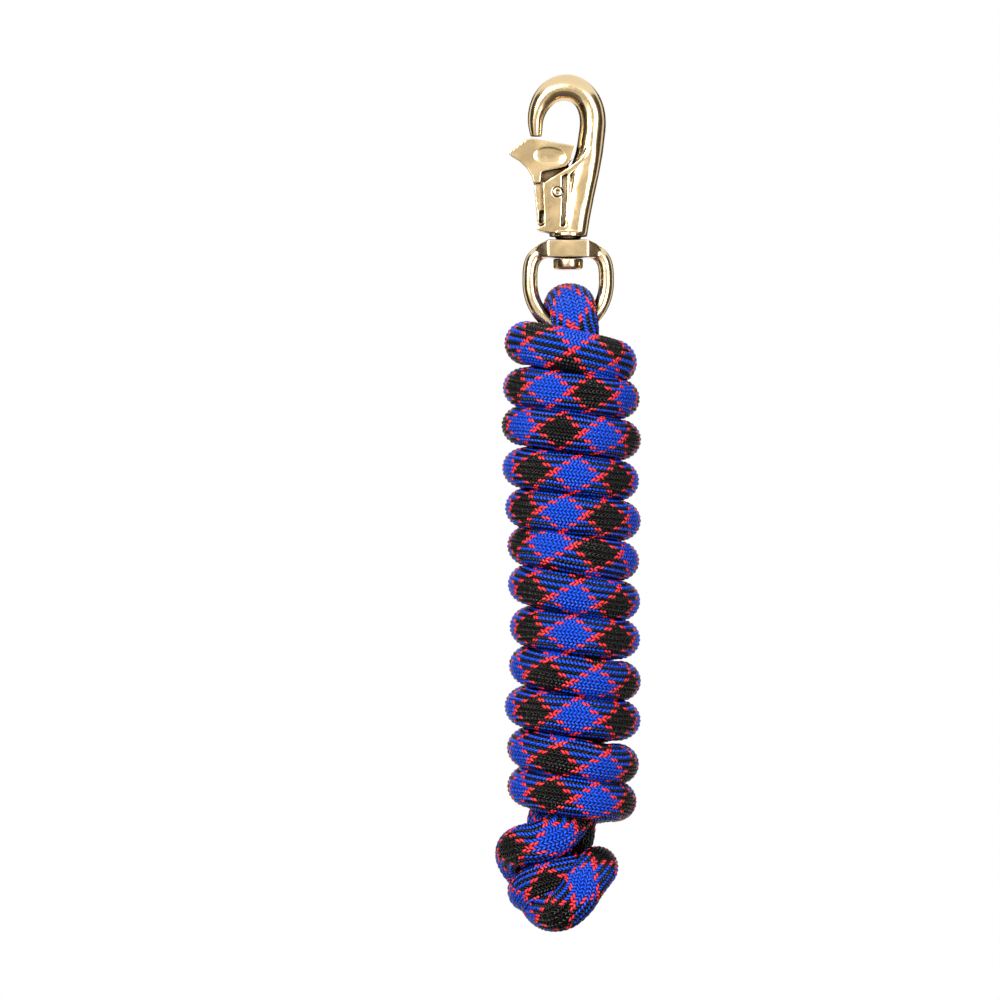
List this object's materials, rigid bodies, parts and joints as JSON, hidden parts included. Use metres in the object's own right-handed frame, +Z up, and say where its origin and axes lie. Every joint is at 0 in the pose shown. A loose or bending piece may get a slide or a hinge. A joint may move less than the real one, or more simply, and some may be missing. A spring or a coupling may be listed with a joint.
{
  "type": "lead rope",
  "caption": "Horse lead rope: a sprung trigger snap with a swivel eye on a thick braided rope, wound into a hank with a stopper knot and stored hanging from its hook.",
  "frame": {"origin": "the hook's inner saddle on the swivel's axis, where the rope hangs from whatever the hook is put over", "axes": "+Z up along the swivel's axis, +X to the right seen from the front, the trigger's spur towards -X, +Y to the back"},
  "size_m": [0.0669, 0.0752, 0.3873],
  "materials": {
    "gold_plate": "mirror polished plating",
    "spring_steel": "drawn",
    "braid": "braided polypropylene, blue and black with red tracers",
    "twine": "waxed whipping twine"
  },
  "bodies": {
    "snap": {"snap_body": "gold_plate", "trigger_pin": "spring_steel", "trigger_spring": "spring_steel", "swivel_stud": "gold_plate"},
    "trigger": {"trigger": "gold_plate"},
    "swivel_eye": {"swivel_eye": "gold_plate"},
    "rope": {"rope_eye_loop": "braid", "eye_seizing": "twine", "rope_hank": "braid", "rope_bight": "braid", "rope_tail": "braid", "rope_knot": "braid"}
  },
  "joints": [
    {"name": "trigger_hinge", "type": "hinge", "parent": "snap", "child": "trigger", "pos_m": [-0.0049, 0, -0.042], "axis": [0, -1, 0], "range_deg": [0, 58], "stiffness_Nm_per_rad": 0.06, "springref_deg": -28.65, "deforming": ["trigger_spring"]},
    {"name": "swivel_turn", "type": "hinge", "parent": "snap", "child": "swivel_eye", "pos_m": [0, 0, -0.0675], "axis": [0, 0, 1], "continuous": true},
    {"name": "rope_swing", "type": "hinge", "parent": "swivel_eye", "child": "rope", "pos_m": [0, 0, -0.1033], "axis": [1, 0, 0], "range_deg": [-8, 8]}
  ]
}
